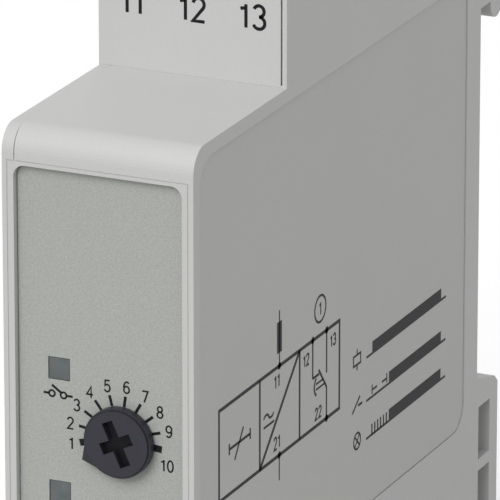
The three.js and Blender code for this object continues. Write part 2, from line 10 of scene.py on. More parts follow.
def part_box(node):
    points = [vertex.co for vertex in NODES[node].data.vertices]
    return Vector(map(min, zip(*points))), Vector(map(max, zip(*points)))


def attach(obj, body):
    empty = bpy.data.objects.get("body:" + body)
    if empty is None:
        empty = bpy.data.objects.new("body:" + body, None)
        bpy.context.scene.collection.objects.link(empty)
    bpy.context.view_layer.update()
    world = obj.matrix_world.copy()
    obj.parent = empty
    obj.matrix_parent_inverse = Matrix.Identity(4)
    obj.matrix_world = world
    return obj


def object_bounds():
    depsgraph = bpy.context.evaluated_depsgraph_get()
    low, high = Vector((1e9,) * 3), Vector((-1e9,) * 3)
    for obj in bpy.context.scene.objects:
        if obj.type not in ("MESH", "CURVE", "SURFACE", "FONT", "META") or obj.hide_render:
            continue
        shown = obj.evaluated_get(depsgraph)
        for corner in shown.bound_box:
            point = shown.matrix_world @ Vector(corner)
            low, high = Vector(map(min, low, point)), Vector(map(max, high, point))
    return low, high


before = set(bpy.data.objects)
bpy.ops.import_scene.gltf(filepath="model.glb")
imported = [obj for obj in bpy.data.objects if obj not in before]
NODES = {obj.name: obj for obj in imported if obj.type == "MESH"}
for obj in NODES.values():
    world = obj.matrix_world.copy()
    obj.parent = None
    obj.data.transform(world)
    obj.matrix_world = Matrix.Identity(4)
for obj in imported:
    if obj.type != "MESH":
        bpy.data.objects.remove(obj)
cad_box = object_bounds()

MM = 0.001

# ---------------------------------------------------------------- sizes, mm

PRINT_THICK = 0.012
PRINT_SINK = 0.004
THIN_LINE = 0.26
BOLD_LINE = 0.62
EDGE_ROUND = 0.16
SMALL_EDGE_ROUND = 0.06
EDGE_ANGLE = math.radians(32)
FLAT_ANGLE = math.radians(0.5)
WELD_REACH = 1e-6  # in metres
MERGE_REACH = 1e-5
MITRE_LIMIT = 0.5

TICK_INNER = 2.9
TICK_OUTER = 3.85
TICK_COUNT = 10
TICK_FIRST = 193.3
TICK_STEP = -22.16
DIGIT_HEIGHT = 1.14
DIGIT_STROKE = 0.15
DIGIT_RADIUS = 4.66
DIGIT_LAST_ANGLE = -22.5
RANGE_COUNT = 8
SCALE_X = -0.14  # how far the printed scales lie from the shafts
SCALE_Z = 0.12

TERMINAL_DIGIT_HEIGHT = 2.35
TERMINAL_DIGIT_STROKE = 0.3
NUMBER_DROP = 6.15  # from a terminal screw's axis to its number
PLATE_DROP = 3.0  # from a terminal screw's axis to the plate's outer edge
PLATE_INSET = 0.05
BLOCK_GAP = 0.3  # between the nose and a terminal block
PLATE_SINK = 0.02
PLATE_PROUD = 0.03
PLATE_THICK = 0.12
PLATE_ROUND = 0.02
SEAM_WIDE = 0.32
SEAM_THICK = 0.4
SEAM_DEEP = 0.07
SLOT_LONG = 4.1
SLOT_SHORT = 3.0
SLOT_WIDE = 1.02
SLOT_DEEP = 0.5
SLOT_TURN = 24.5

# ---------------------------------------------------------------- helpers


def srgb(r, g, b):
    """Linear colour, with alpha, of an 8-bit display colour."""

    def linear(c):
        c = c / 255
        return c / 12.92 if c <= 0.04045 else ((c + 0.055) / 1.055) ** 2.4

    return (linear(r), linear(g), linear(b), 1.0)


def scaled(colour, factor):
    """The colour made lighter or darker."""
    return tuple(min(1.0, c * factor) for c in colour[:3]) + (1.0,)


class Finish:
    """A procedural material: a Principled shader with colour variation, fine grain and bump."""

    def __init__(self, name, roughness, metallic=0.0, specular=0.5):
        self.material = bpy.data.materials.new(name)
        self.material.use_nodes = True
        self.tree = self.material.node_tree
        self.shader = self.tree.nodes["Principled BSDF"]
        self.shader.inputs["Metallic"].default_value = metallic
        self.shader.inputs["Roughness"].default_value = roughness
        self.shader.inputs["Specular IOR Level"].default_value = specular
        self.place = self.tree.nodes.new("ShaderNodeTexCoord").outputs["Object"]

    def node(self, kind, **values):
        made = self.tree.nodes.new(kind)
        for key, value in values.items():
            if key in made.inputs:
                made.inputs[key].default_value = value
            else:
                setattr(made, key, value)
        return made

    def link(self, a, b):
        self.tree.links.new(a, b)

    def noise(self, scale, detail=3.0, stretch=None):
        """Noise of that many features in a metre."""
        made = self.node("ShaderNodeTexNoise", Scale=scale, Detail=detail)
        place = self.place
        if stretch:
            mapping = self.node("ShaderNodeMapping")
            mapping.inputs["Scale"].default_value = stretch
            self.link(self.place, mapping.inputs["Vector"])
            place = mapping.outputs["Vector"]
        self.link(place, made.inputs["Vector"])
        return made.outputs["Fac"]

    def ramp(self, value, low, high, colour_low, colour_high):
        """One colour up to the low value, the other from the high value, and a blend between."""
        made = self.node("ShaderNodeValToRGB")
        self.link(value, made.inputs["Fac"])
        first, last = made.color_ramp.elements
        first.position, first.color = low, colour_low
        last.position, last.color = high, colour_high
        return made.outputs["Color"]

    def mix(self, share, a, b):
        """The two colours mixed, with that share of the second."""
        made = self.node("ShaderNodeMix", data_type="RGBA")
        made.inputs[0].default_value = share
        self.link(a, made.inputs[6])
        self.link(b, made.inputs[7])
        return made.outputs[2]

    def colour(self, value):
        self.link(value, self.shader.inputs["Base Color"])

    def roughness(self, value, low, high):
        """Roughness runs from low to high with the value."""
        made = self.node("ShaderNodeMapRange")
        made.inputs["To Min"].default_value = low
        made.inputs["To Max"].default_value = high
        self.link(value, made.inputs["Value"])
        self.link(made.outputs["Result"], self.shader.inputs["Roughness"])

    def bump(self, value, strength, depth):
        """Relief that follows the value, that many mm deep."""
        made = self.node("ShaderNodeBump", Strength=strength, Distance=depth * MM)
        self.link(value, made.inputs["Height"])
        self.link(made.outputs["Normal"], self.shader.inputs["Normal"])


def moulded(name, colour, roughness=0.5, grain=5200, depth=0.012, spread=0.03, edge_highlight=1.07, gloss=0.32):
    """Injection-moulded plastic: a fine spark-eroded grain, faint clouding, and a painted highlight that
    lightens sharp edges.
    """
    finish = Finish(name, roughness, specular=gloss)
    cloud = finish.noise(90, 4.0)
    fine = finish.noise(grain, 2.0)
    base = finish.ramp(cloud, 0.3, 0.7, scaled(colour, 1 - spread), scaled(colour, 1 + spread))
    speck = finish.ramp(fine, 0.25, 0.75, scaled(colour, 0.93), scaled(colour, 1.06))
    body = finish.mix(0.5, base, speck)
    # Painted highlight: where pointiness is high, on sharp convex edges, the colour is made lighter, standing
    # in for light caught on the rounded edges.
    pointy = finish.tree.nodes.new("ShaderNodeNewGeometry").outputs["Pointiness"]
    painted_edge_highlight = finish.ramp(pointy, 0.5, 0.56, scaled(colour, 1.0), scaled(colour, edge_highlight))
    finish.colour(finish.mix(0.4, body, painted_edge_highlight))
    finish.roughness(fine, roughness - 0.06, roughness + 0.08)
    finish.bump(fine, 0.35, depth)
    return finish.material


def film(name, colour, speck_dark=0.74, speck_light=1.2):
    """Printed polyester film: matt, with a fine sparkle of lighter and darker specks."""
    finish = Finish(name, 0.55, specular=0.25)
    speck = finish.noise(7400, 2.0)
    cloud = finish.noise(60, 3.0)
    fine = finish.ramp(speck, 0.3, 0.7, scaled(colour, speck_dark), scaled(colour, speck_light))
    broad = finish.ramp(cloud, 0.35, 0.65, scaled(colour, 0.98), scaled(colour, 1.02))
    finish.colour(finish.mix(0.55, broad, fine))
    finish.roughness(speck, 0.48, 0.64)
    finish.bump(speck, 0.2, 0.006)
    return finish.material


def ink(name, colour):
    """Screen-printed ink, slightly uneven in density."""
    finish = Finish(name, 0.5, specular=0.15)
    grain = finish.noise(6000, 2.0)
    finish.colour(finish.ramp(grain, 0.3, 0.7, scaled(colour, 0.8), scaled(colour, 1.35)))
    finish.roughness(grain, 0.42, 0.6)
    finish.bump(grain, 0.15, 0.004)
    return finish.material


SCRATCH_STRETCH = (1.0, 1.0, 12.0)


def metal(name, colour, roughness=0.3):
    """Plated metal with drawn scratches and light tarnish."""
    finish = Finish(name, roughness, metallic=1.0)
    scratch = finish.noise(900, 4.0, SCRATCH_STRETCH)
    tarnish = finish.noise(260, 3.0)
    bright = finish.ramp(scratch, 0.3, 0.7, scaled(colour, 0.85), scaled(colour, 1.08))
    dull = finish.ramp(tarnish, 0.35, 0.7, scaled(colour, 0.75), scaled(colour, 1.02))
    finish.colour(finish.mix(0.4, bright, dull))
    finish.roughness(scratch, roughness - 0.08, roughness + 0.14)
    finish.bump(scratch, 0.25, 0.01)
    return finish.material


def winding(name, colour):
    """Enamelled wire wound side by side: fine bands round the coil."""
    finish = Finish(name, 0.28, specular=0.6)
    wave = finish.node("ShaderNodeTexWave", bands_direction="Y", Scale=900.0, Distortion=1.5)
    wave.inputs["Detail Scale"].default_value = 3.0
    finish.link(finish.place, wave.inputs["Vector"])
    bands = wave.outputs["Fac"]
    finish.colour(finish.ramp(bands, 0.2, 0.8, scaled(colour, 0.5), scaled(colour, 1.2)))
    finish.roughness(bands, 0.22, 0.4)
    finish.bump(bands, 0.7, 0.06)
    return finish.material


def solder_mask(name, colour):
    """Circuit board: green lacquer over tracks, which show a little lighter and raised."""
    finish = Finish(name, 0.35, specular=0.6)
    cells = finish.node("ShaderNodeTexVoronoi", feature="DISTANCE_TO_EDGE", distance="EUCLIDEAN", Scale=420.0)
    finish.link(finish.place, cells.inputs["Vector"])
    tracks = cells.outputs["Distance"]
    weave = finish.noise(2600, 2.0)
    laid = finish.ramp(tracks, 0.05, 0.09, scaled(colour, 1.7), scaled(colour, 0.9))
    cloth = finish.ramp(weave, 0.3, 0.7, scaled(colour, 0.85), scaled(colour, 1.15))
    finish.colour(finish.mix(0.35, laid, cloth))
    finish.roughness(weave, 0.28, 0.45)
    finish.bump(tracks, 0.3, 0.02)
    return finish.material


def resin(name, colour):
    """Dipped epoxy coating: glossy, softly uneven."""
    finish = Finish(name, 0.22, specular=0.6)
    runs = finish.noise(320, 3.0)
    fine = finish.noise(3800, 2.0)
    finish.colour(finish.ramp(runs, 0.3, 0.7, scaled(colour, 0.82), scaled(colour, 1.2)))
    finish.roughness(fine, 0.16, 0.34)
    finish.bump(runs, 0.5, 0.06)
    return finish.material


def lens(name, colour, clear=0.35):
    """Tinted indicator window: smooth, slightly clear, with moulding swirls."""
    finish = Finish(name, 0.4, specular=0.2)
    swirl = finish.noise(700, 3.0)
    finish.colour(finish.ramp(swirl, 0.3, 0.7, scaled(colour, 0.88), scaled(colour, 1.12)))
    finish.roughness(swirl, 0.34, 0.48)
    finish.bump(swirl, 0.12, 0.02)
    finish.shader.inputs["Transmission Weight"].default_value = clear
    return finish.material


SHELL_GREY = srgb(199, 199, 198)
LABEL_GREY = srgb(173, 176, 171)
SIDE_LABEL_GREY = srgb(198, 198, 195)
KNOB_GREY = srgb(42, 42, 50)
INK_GREY = srgb(26, 26, 30)

FINISHES = {
    "shell_plastic": moulded("shell_plastic", SHELL_GREY, 0.52),
    "label_film": film("label_film", LABEL_GREY),
    "side_label_film": film("side_label_film", SIDE_LABEL_GREY, 0.97, 1.03),
    "knob_plastic": moulded("knob_plastic", KNOB_GREY, 0.42, 3600, 0.01, 0.12, 1.5),
    "window_lens": lens("window_lens", srgb(104, 109, 110), 0.05),
    "led_red": lens("led_red", srgb(150, 30, 22)),
    "clip_plastic": moulded("clip_plastic", srgb(196, 196, 194), 0.46),
    "steel": metal("steel", srgb(188, 188, 186)),
    "brass": metal("brass", srgb(196, 176, 122), 0.32),
    "copper_wire": winding("copper_wire", srgb(176, 92, 46)),
    "circuit_board": solder_mask("circuit_board", srgb(26, 98, 58)),
    "black_plastic": moulded("black_plastic", srgb(38, 38, 42), 0.45, 3600, 0.012, 0.15, 1.6),
    "blue_plastic": moulded("blue_plastic", srgb(36, 78, 148), 0.4, 3600, 0.012, 0.1, 1.3),
    "brown_resin": resin("brown_resin", srgb(140, 66, 34)),
}
PRINT_INK = ink("print_ink", INK_GREY)
# Near-black ink, used as painted shade on the floors of the dials' cross slots.
PAINTED_SLOT_SHADE = ink("painted_slot_shade", srgb(12, 12, 17))

# Every other node is moulded shell plastic.
SLOT_OF = {
    "side_label": "side_label_film",
    "front_label": "label_film",
    "relay_window": "window_lens",
    "power_window": "window_lens",
    "relay_led": "led_red",
    "power_led": "led_red",
    "rail_clip": "clip_plastic",
    "rail_clip_spring": "clip_plastic",
    "time_knob": "knob_plastic",
    "range_knob": "knob_plastic",
    "time_pot_rotor": "black_plastic",
    "range_pot_rotor": "black_plastic",
    "time_potentiometer": "blue_plastic",
    "range_potentiometer": "blue_plastic",
    "main_board": "circuit_board",
    "front_board": "circuit_board",
    "terminal_board_top": "circuit_board",
    "terminal_board_bottom": "circuit_board",
    "board_connector": "black_plastic",
    "timer_chip": "black_plastic",
    "rectifier": "black_plastic",
    "smoothing_capacitor": "black_plastic",
    "dropper_capacitor": "blue_plastic",
    "varistor": "brown_resin",
    "relay_base": "black_plastic",
    "relay_cover": "blue_plastic",
    "relay_coil": "copper_wire",
    "relay_yoke": "steel",
    "relay_armature": "steel",
    "relay_contact_make": "brass",
    "relay_contact_break": "brass",
}
SLOT_OF_FAMILY = {
    "terminal_screw": "steel",
    "clamp_cage": "steel",
    "contact_blade": "brass",
}
SMALL_FAMILIES = ("relay_", "terminal_screw", "time_", "range_", "front_label", "side_label", "power_")


def slot_of(name):
    """The finish of a CAD node."""
    for family, slot in SLOT_OF_FAMILY.items():
        if name.startswith(family):
            return slot
    return SLOT_OF.get(name, "shell_plastic")


def round_edges(thing, width):
    """Rounds a thing's sharp edges by modifiers, which leave its mesh as it is."""
    weld = thing.modifiers.new("weld", "WELD")
    weld.merge_threshold = WELD_REACH
    flat = thing.modifiers.new("flat", "DECIMATE")
    flat.decimate_type = "DISSOLVE"
    flat.angle_limit = FLAT_ANGLE
    bevel = thing.modifiers.new("round", "BEVEL")
    bevel.width = width * MM
    bevel.segments = 2
    bevel.limit_method = "ANGLE"
    bevel.angle_limit = EDGE_ANGLE
    bevel.use_clamp_overlap = True
    bevel.harden_normals = True


def finish_nodes():
    """Gives every CAD node its finish and rounds its edges."""
    for name, thing in NODES.items():
        slot = slot_of(name)
        thing.data.materials.clear()
        thing.data.materials.append(FINISHES[slot])
        small = name.startswith(SMALL_FAMILIES)
        round_edges(thing, SMALL_EDGE_ROUND if small else EDGE_ROUND)


# ---------------------------------------------------------------- printing


def arc(x, y, across, up, start, end, steps=20):
    """Points round part of an ellipse, from one angle to another in degrees."""
    angles = [math.radians(start + (end - start) * i / steps) for i in range(steps + 1)]
    return [(x + across * math.cos(a), y + up * math.sin(a)) for a in angles]


def open_stroke(*points):
    """A stroke through the points, left open."""
    return list(points), False


# Each digit is strokes in a box one tall, centred on the origin: a list of points, and whether it closes.
DIGITS = {
    "0": [(arc(0, 0, 0.25, 0.5, 0, 360)[:-1], True)],
    "1": [open_stroke((0.08, 0.5), (0.08, -0.5)), open_stroke((-0.17, 0.3), (0.05, 0.34))],
    "2": [open_stroke(*arc(0, 0.23, 0.25, 0.27, 170, -35), (-0.26, -0.5), (0.27, -0.5))],
    "3": [
        open_stroke(*arc(-0.01, 0.26, 0.23, 0.24, 160, -90)),
        open_stroke(*arc(-0.01, -0.24, 0.26, 0.26, 90, -160)),
    ],
    "4": [open_stroke((0.3, -0.2), (-0.27, -0.2), (0.13, 0.5), (0.13, -0.5))],
    "5": [open_stroke((0.23, 0.5), (-0.17, 0.5), *arc(0, -0.18, 0.26, 0.32, 140, -155))],
    "6": [
        (arc(0, -0.2, 0.25, 0.3, 0, 360)[:-1], True),
        open_stroke(*arc(0.03, 0, 0.28, 0.5, 50, 180)),
    ],
    "7": [open_stroke((-0.26, 0.5), (0.26, 0.5), (-0.08, -0.5))],
    "8": [
        (arc(0, 0.26, 0.21, 0.24, 0, 360)[:-1], True),
        (arc(0, -0.24, 0.25, 0.26, 0, 360)[:-1], True),
    ],
    "9": [
        (arc(0, 0.2, 0.25, 0.3, 0, 360)[:-1], True),
        open_stroke(*arc(-0.03, 0, 0.28, 0.5, -130, 0)),
    ],
}
DIGIT_WIDTH = dict.fromkeys(DIGITS, 0.56)
DIGIT_WIDTH["1"] = 0.42
DIGIT_SPACE = 0.1


class Print:
    """Flat ink shapes on one face. Shapes are drawn in mm along the face's own across and up axes."""

    def __init__(self, name, origin, across, up):
        self.name = name
        self.mesh = bmesh.new()
        across, up = Vector(across), Vector(up)
        out = across.cross(up)
        place = Matrix((across, up, out)).transposed().to_4x4()
        self.place = Matrix.Translation(Vector(origin) * MM) @ place @ Matrix.Scale(MM, 4)

    def shape(self, points):
        """A closed outline of ink."""
        low = [self.mesh.verts.new((x, y, -PRINT_SINK)) for x, y in points]
        high = [self.mesh.verts.new((x, y, PRINT_THICK)) for x, y in points]
        count = len(points)
        self.mesh.faces.new(high)
        self.mesh.faces.new(low[::-1])
        for i in range(count):
            j = (i + 1) % count
            self.mesh.faces.new((low[i], low[j], high[j], high[i]))

    def box(self, x0, x1, y0, y1):
        self.shape([(x0, y0), (x1, y0), (x1, y1), (x0, y1)])

    def ribbon(self, points, width, closed=False):
        """A stroke of even width along the points, with mitred turns."""
        count = len(points)
        rings = []
        for i, point in enumerate(points):
            here = Vector(point)
            back = here - Vector(points[i - 1]) if i or closed else None
            on = Vector(points[(i + 1) % count]) - here if i < count - 1 or closed else None
            back = (back or on).normalized()
            on = (on or back).normalized()
            along = (back + on).normalized()
            side = Vector((-along.y, along.x))
            reach = width / 2 / max(MITRE_LIMIT, along.dot(on))
            left, right = here + side * reach, here - side * reach
            rings.append([
                self.mesh.verts.new((*left, PRINT_THICK)),
                self.mesh.verts.new((*right, PRINT_THICK)),
                self.mesh.verts.new((*right, -PRINT_SINK)),
                self.mesh.verts.new((*left, -PRINT_SINK)),
            ])
        for i in range(count if closed else count - 1):
            a, b = rings[i], rings[(i + 1) % count]
            for k in range(4):
                n = (k + 1) % 4
                self.mesh.faces.new((a[k], a[n], b[n], b[k]))
        if not closed:
            self.mesh.faces.new(rings[0])
            self.mesh.faces.new(rings[-1][::-1])

    def line(self, x0, y0, x1, y1, width=THIN_LINE):
        """A straight stroke."""
        self.ribbon([(x0, y0), (x1, y1)], width)

    def ring(self, x, y, radius, width=THIN_LINE):
        self.ribbon(arc(x, y, radius, radius, 0, 360)[:-1], width, closed=True)

    def dot(self, x, y, radius):
        self.shape(arc(x, y, radius, radius, 0, 360)[:-1])

    def number(self, text, x, y, height, stroke):
        """A plain number centred on a point, that many mm tall."""
        tall = height - stroke
        widths = [DIGIT_WIDTH[c] * height for c in text]
        space = DIGIT_SPACE * height
        left = x - (sum(widths) + space * (len(text) - 1)) / 2
        for character, wide in zip(text, widths):
            for points, closed in DIGITS[character]:
                placed = [(left + wide / 2 + px * tall, y + py * tall) for px, py in points]
                self.ribbon(placed, stroke, closed)
            left += wide + space

    def done(self, body):
        """Makes the ink a piece that rides on the body."""
        bmesh.ops.remove_doubles(self.mesh, verts=self.mesh.verts, dist=MERGE_REACH)
        bmesh.ops.recalc_face_normals(self.mesh, faces=self.mesh.faces)
        self.mesh.transform(self.place)
        data = bpy.data.meshes.new(self.name)
        self.mesh.to_mesh(data)
        self.mesh.free()
        data.materials.append(PRINT_INK)
        thing = bpy.data.objects.new(self.name, data)
        bpy.context.scene.collection.objects.link(thing)
        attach(thing, body)
        return thing


def polar(x, y, radius, degrees):
    """The point at that radius and angle round (x, y)."""
    angle = math.radians(degrees)
    return x + radius * math.cos(angle), y + radius * math.sin(angle)


def centre_mm(node):
    """The centre of a CAD node's box, in mm."""
    low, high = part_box(node)
    return (low + high) / 2 / MM


def shaft_centre(knob):
    """The turning axis of a dial, which is its rotor's own centre."""
    return centre_mm(knob.replace("_knob", "_pot_rotor"))


# ---------------------------------------------------------------- front label

SYMBOL_RIGHT = 0.28  # from the upper window's left edge to the symbol's first circle
SYMBOL_DROP = 1.3  # from the upper window's lower edge to that circle
CIRCLE_APART = 1.07
CIRCLE_DROP = 0.05  # how far the second circle lies below the first
CIRCLE_RADIUS = 0.27
CIRCLE_LINE = 0.17
LEAD_LINE = 0.2
LEAD_IN = 0.78
LEAD_OUT = 0.85
LEVER_LINE = 0.22
LEVER_INSET = 0.2
LEVER_LOW = 0.15
LEVER_HIGH = 0.75


def time_scale(sheet, x, z):
    """Ten ticks and plain numbers round the time knob, the end ticks thick."""
    for i in range(TICK_COUNT):
        angle = TICK_FIRST + TICK_STEP * i
        wide = BOLD_LINE if i in (0, TICK_COUNT - 1) else THIN_LINE
        sheet.line(*polar(x, z, TICK_INNER, angle), *polar(x, z, TICK_OUTER, angle), wide)
        digit_angle = DIGIT_LAST_ANGLE if i == TICK_COUNT - 1 else angle
        sheet.number(str(i + 1), *polar(x, z, DIGIT_RADIUS, digit_angle), DIGIT_HEIGHT, DIGIT_STROKE)


def range_scale(sheet, x, z):
    """Eight ticks and plain numbers round the range knob."""
    sweep = TICK_STEP * (TICK_COUNT - 1)
    for i in range(RANGE_COUNT):
        angle = TICK_FIRST + sweep * i / (RANGE_COUNT - 1)
        sheet.line(*polar(x, z, TICK_INNER, angle), *polar(x, z, TICK_OUTER, angle))
        sheet.number(str(i + 1), *polar(x, z, DIGIT_RADIUS, angle), DIGIT_HEIGHT, DIGIT_STROKE)


def contact_symbol(sheet, x, z):
    """Open contact: lead, circle, circle with its lever, lead. The first circle is at (x, z)."""
    far = x + CIRCLE_APART
    low = z - CIRCLE_DROP
    sheet.line(x - LEAD_IN, z, x - CIRCLE_RADIUS, z, LEAD_LINE)
    sheet.ring(x, z, CIRCLE_RADIUS, CIRCLE_LINE)
    sheet.ring(far, low, CIRCLE_RADIUS, CIRCLE_LINE)
    sheet.line(far + CIRCLE_RADIUS, low, far + LEAD_OUT, low, LEAD_LINE)
    sheet.line(far - LEVER_INSET, z + LEVER_LOW, x, z + LEVER_HIGH, LEVER_LINE)


def front_print():
    """Both dial scales and the contact symbol, on the front label."""
    label_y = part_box("front_label")[0].y / MM
    sheet = Print("front_print", (0, label_y, 0), (1, 0, 0), (0, 0, 1))
    time_x, _, time_z = shaft_centre("time_knob")
    range_x, _, range_z = shaft_centre("range_knob")
    time_scale(sheet, time_x + SCALE_X, time_z + SCALE_Z)
    range_scale(sheet, range_x + SCALE_X, range_z + SCALE_Z)
    window_low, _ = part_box("relay_window")
    contact_symbol(sheet, window_low.x / MM + SYMBOL_RIGHT, window_low.z / MM - SYMBOL_DROP)
    sheet.done("module")


# ---------------------------------------------------------------- terminal faces and the front joint


def add_bar(mesh, place, size):
    """A box of that size in mm, centred on a place."""
    bmesh.ops.create_cube(mesh, size=1, matrix=Matrix.Translation(place) @ Matrix.Diagonal((*size, 1)))


def add_shell_piece(name, mesh):
    """A piece of shell plastic fixed to the module."""
    data = bpy.data.meshes.new(name)
    mesh.to_mesh(data)
    mesh.free()
    data.materials.append(FINISHES["shell_plastic"])
    thing = bpy.data.objects.new(name, data)
    bpy.context.scene.collection.objects.link(thing)
    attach(thing, "module")
    return thing


def number_plate(name, block, side, screw_z):
    """A thin plate over the numbered part of a terminal block's face. Returns its face's place along y."""
    low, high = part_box(block)
    inner = min(abs(low.z), abs(high.z)) / MM - BLOCK_GAP + PLATE_SINK
    bottom, top = sorted((side * inner, screw_z - side * PLATE_DROP))
    front = low.y / MM - PLATE_PROUD
    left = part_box("side_cover")[0].x / MM + PLATE_INSET
    width = high.x / MM - left
    mesh = bmesh.new()
    middle = (high.x / MM - width / 2, front + PLATE_THICK / 2, (bottom + top) / 2)
    add_bar(mesh, middle, (width, PLATE_THICK, top - bottom))
    mesh.transform(Matrix.Scale(MM, 4))
    round_edges(add_shell_piece(name, mesh), PLATE_ROUND)
    return front


def terminal_print(name, block, numbers, side):
    """Plain numbers beside each terminal, left to right, on the plate over the block's front face."""
    screws = [centre_mm(node) for node in NODES if node.startswith("terminal_screw")]
    row = sorted((place for place in screws if place.z * side > 0), key=lambda place: place.x)
    screw_z = row[0].z
    face_y = number_plate(name + "_plate", block, side, screw_z)
    sheet = Print(name, (0, face_y, 0), (1, 0, 0), (0, 0, 1))
    for text, place in zip(numbers, row):
        z = screw_z - side * NUMBER_DROP
        sheet.number(text, place.x, z, TERMINAL_DIGIT_HEIGHT, TERMINAL_DIGIT_STROKE)
    sheet.done("module")


def seam_filler():
    """Four bars just below the face, in the gap round the front cover, so the joint is a shallow groove."""
    low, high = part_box("front_cover")
    y = low.y / MM + SEAM_DEEP + SEAM_THICK / 2
    reach_x = high.x / MM
    reach_z = high.z / MM
    upright = (SEAM_WIDE, SEAM_THICK, 2 * reach_z + SEAM_WIDE)
    crossbar = (2 * reach_x - SEAM_WIDE, SEAM_THICK, SEAM_WIDE)
    mesh = bmesh.new()
    for side in (-1, 1):
        add_bar(mesh, (side * reach_x, y, 0), upright)
        add_bar(mesh, (0, y, side * reach_z), crossbar)
    mesh.transform(Matrix.Scale(MM, 4))
    add_shell_piece("seam_filler", mesh)


# ---------------------------------------------------------------- side label
# Places are mm along the depth (y) and the height (z).

DIAGRAM_Y = 0.5  # where the diagram's own zero lies
DIAGRAM_Z = -0.4
DIAGRAM_LINE = 0.33
DIAGONAL_LINE = 0.4
SIGN_LINE = 0.2
SLIM_LINE = 0.18
WAVE_LINE = 0.22
DOT_RADIUS = 0.34
PANEL_LEFT = -57.4
PANEL_RIGHT = -32.0
PANEL_TOP = -1.5
PANEL_BOTTOM = -9.6
CELL_1 = -49.0
CELL_2 = -40.6
SUPPLY = -44.9
CONTACT_A = -37.8
CONTACT_B = -34.8
DOTS = (
    (SUPPLY, PANEL_TOP),
    (CONTACT_A, PANEL_TOP),
    (CONTACT_B, PANEL_TOP),
    (SUPPLY, PANEL_BOTTOM),
    (CONTACT_B, PANEL_BOTTOM),
)
NOTE_PLACE = (-36.2, 0.9)
NOTE_RADIUS = 1.2
NOTE_HEIGHT = 1.3

FUSE_HALF = 0.5
FUSE_LOW = 1.2  # above the panel
FUSE_HIGH = 4.0
SUPPLY_RISE = 5.0
SUPPLY_DROP = 2.3

FIXED_A_END = (-36.4, -5.0)
FIXED_B_LOW = -5.4
LEVER_FOOT = -6.7
LEVER_TIP = (-36.5, -4.6)
LINK_LEFT = -37.1
LINK_ENDS = ((-35.55, -5.75), (-35.15, -6.25))
DELAY_PLACE = (-36.55, -6.0)
DELAY_RADIUS = 0.9

RECTIFIER_BASE = -6.1
RECTIFIER_LEFT = -48.2
RECTIFIER_RIGHT = -46.0
HUMP = (-47.65, -5.35)
DIP = (-46.65, -5.25)
WAVE_ACROSS = 0.5
WAVE_UP = 0.3

STEP_Z = -5.6
STEP_LINE = (-55.2, -51.0)
STEP_STOPS = (-55.3, -51.0)
STEP_STOP_HALF = 0.5
STEP_SLASH = (-54.2, -6.9, -52.4, -4.5)

# Each number beside its dot: the text, its place and its height.
DIAGRAM_NUMBERS = (
    ("11", -45.4, -2.75, 1.3),
    ("21", -45.4, -8.3, 1.3),
    ("12", -39.2, -2.85, 1.2),
    ("13", -33.4, -2.85, 1.2),
    ("22", -36.6, -8.5, 1.2),
)


def wiring_diagram(sheet):
    """Terminal box with the supply, the delay and the changeover contact."""
    outline = [
        (PANEL_LEFT, PANEL_TOP),
        (PANEL_RIGHT, PANEL_TOP),
        (PANEL_RIGHT, PANEL_BOTTOM),
        (PANEL_LEFT, PANEL_BOTTOM),
    ]
    sheet.ribbon(outline, DIAGRAM_LINE, closed=True)
    for y in (CELL_1, CELL_2):
        sheet.line(y, PANEL_TOP, y, PANEL_BOTTOM, DIAGRAM_LINE)
    sheet.line(CELL_2, PANEL_TOP, CELL_1, PANEL_BOTTOM, DIAGONAL_LINE)
    for y, z in DOTS:
        sheet.dot(y, z, DOT_RADIUS)
    supply_fuse(sheet)
    delay_contact(sheet)
    rectifying_sign(sheet)
    step_sign(sheet)
    sheet.ring(*NOTE_PLACE, NOTE_RADIUS, WAVE_LINE)
    sheet.number("1", *NOTE_PLACE, NOTE_HEIGHT, SLIM_LINE)


def supply_fuse(sheet):
    """The supply's leads, with a fuse in the upper one."""
    sheet.line(SUPPLY, PANEL_TOP, SUPPLY, PANEL_TOP + SUPPLY_RISE, SIGN_LINE)
    sheet.box(SUPPLY - FUSE_HALF, SUPPLY + FUSE_HALF, PANEL_TOP + FUSE_LOW, PANEL_TOP + FUSE_HIGH)
    sheet.line(SUPPLY, PANEL_BOTTOM, SUPPLY, PANEL_BOTTOM - SUPPLY_DROP, SIGN_LINE)


def delay_contact(sheet):
    """Changeover contact with the delayed lever's arc and double link."""
    _, fixed_a_low = FIXED_A_END
    sheet.line(CONTACT_A, PANEL_TOP, CONTACT_A, fixed_a_low)
    sheet.line(CONTACT_A, fixed_a_low, *FIXED_A_END)
    sheet.line(CONTACT_B, PANEL_TOP, CONTACT_B, FIXED_B_LOW)
    sheet.line(CONTACT_B, PANEL_BOTTOM, CONTACT_B, LEVER_FOOT)
    sheet.line(CONTACT_B, LEVER_FOOT, *LEVER_TIP)
    for right, z in LINK_ENDS:
        sheet.line(LINK_LEFT, z, right, z, SLIM_LINE)
    sheet.ribbon(arc(*DELAY_PLACE, DELAY_RADIUS, DELAY_RADIUS, 120, 240), THIN_LINE)


def rectifying_sign(sheet):
    """A wave over a line, for either kind of supply."""
    sheet.line(RECTIFIER_LEFT, RECTIFIER_BASE, RECTIFIER_RIGHT, RECTIFIER_BASE, WAVE_LINE)
    hump = arc(*HUMP, WAVE_ACROSS, WAVE_UP, 180, 10)
    dip = arc(*DIP, WAVE_ACROSS, WAVE_UP, 190, 360)
    sheet.ribbon([*hump, *dip], WAVE_LINE)


def step_sign(sheet):
    """A line between two stops, crossed by a slash."""
    left, right = STEP_LINE
    sheet.line(left, STEP_Z, right, STEP_Z)
    for y in STEP_STOPS:
        sheet.line(y, STEP_Z + STEP_STOP_HALF, y, STEP_Z - STEP_STOP_HALF)
    sheet.line(*STEP_SLASH)


def diagram_numbers(sheet):
    """Plain terminal numbers beside the diagram's dots."""
    for text, y, z, height in DIAGRAM_NUMBERS:
        sheet.number(text, y, z, height, SIGN_LINE)


